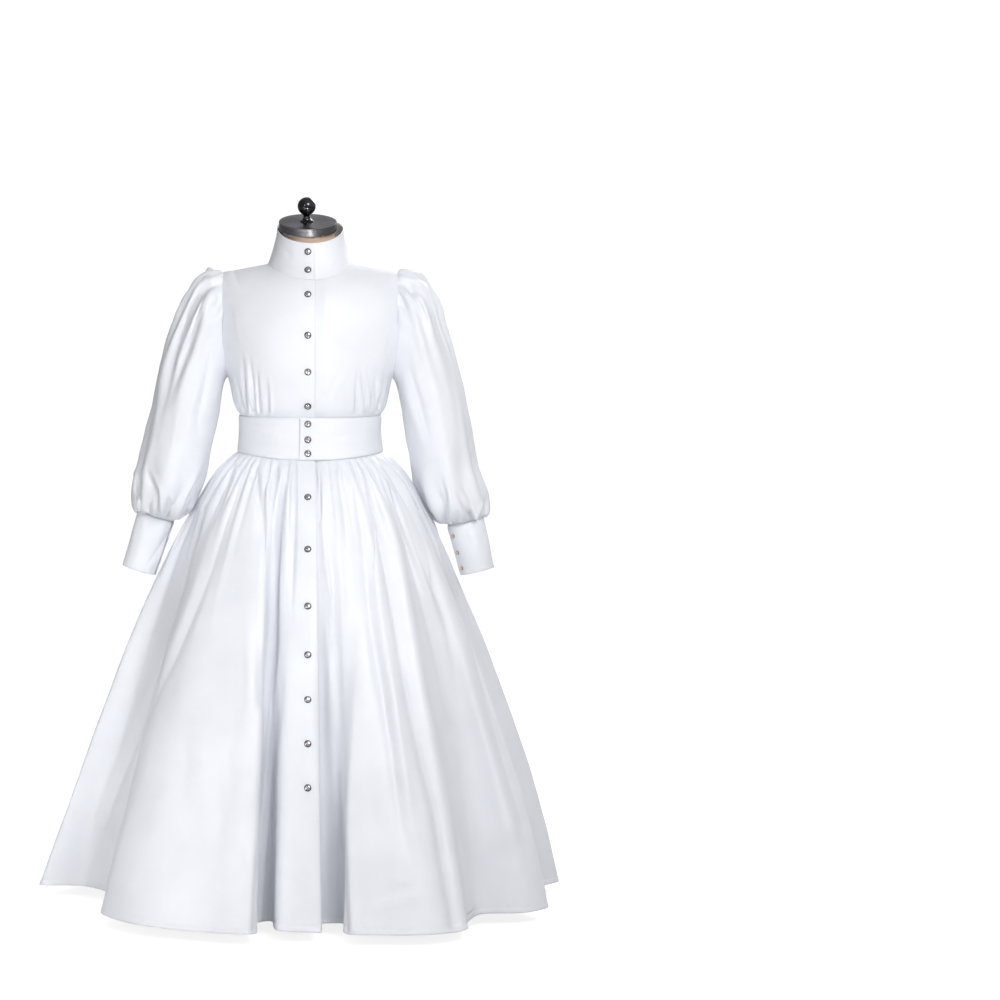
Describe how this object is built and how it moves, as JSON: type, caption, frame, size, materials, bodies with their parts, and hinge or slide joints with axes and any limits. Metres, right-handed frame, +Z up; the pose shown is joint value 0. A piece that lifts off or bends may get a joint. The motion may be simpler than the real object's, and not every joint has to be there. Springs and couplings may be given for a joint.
{
  "type": "maid dress on a limbless dress form",
  "caption": "Long white maid dress with a high snap collar, puffed sleeves, deep cuffs, a wide waistband and a full gathered skirt, standing on a dress form.",
  "frame": {"origin": "centre of the stand base's underside, on the floor", "axes": "+Z up, the dress front faces -Y, +X is the wearer's left"},
  "size_m": [1.091, 1.0906, 1.462],
  "materials": {
    "white_satin": "smooth woven satin with a soft sheen",
    "snap_nickel": "polished dark nickel",
    "cuff_button": "glossy, shell-like",
    "linen": "plain woven linen",
    "dark_steel": "brushed and darkened",
    "black_stand": "satin black paint"
  },
  "bodies": {
    "root": {"bodice_back": "white_satin", "bodice_front_left": "white_satin", "bodice_front_right": "white_satin", "collar": "white_satin", "cuff_left": "white_satin", "cuff_left_button_1": "cuff_button", "cuff_left_button_2": "cuff_button", "cuff_left_button_3": "cuff_button", "cuff_right": "white_satin", "cuff_right_button_1": "cuff_button", "cuff_right_button_2": "cuff_button", "cuff_right_button_3": "cuff_button", "form_base": "black_stand", "form_knob": "dark_steel", "form_neck_cap": "dark_steel", "form_pole": "black_stand", "form_torso": "linen", "skirt_back": "white_satin", "skirt_front_left": "white_satin", "skirt_front_right": "white_satin", "sleeve_left": "white_satin", "sleeve_right": "white_satin", "snap_bodice_1": "snap_nickel", "snap_bodice_2": "snap_nickel", "snap_bodice_3": "snap_nickel", "snap_bodice_4": "snap_nickel", "snap_collar_1": "snap_nickel", "snap_collar_2": "snap_nickel", "snap_skirt_1": "snap_nickel", "snap_skirt_2": "snap_nickel", "snap_skirt_3": "snap_nickel", "snap_skirt_4": "snap_nickel", "snap_skirt_5": "snap_nickel", "snap_skirt_6": "snap_nickel", "snap_skirt_7": "snap_nickel", "snap_waistband_1": "snap_nickel", "snap_waistband_2": "snap_nickel", "snap_waistband_3": "snap_nickel", "waistband": "white_satin"}
  },
  "joints": []
}
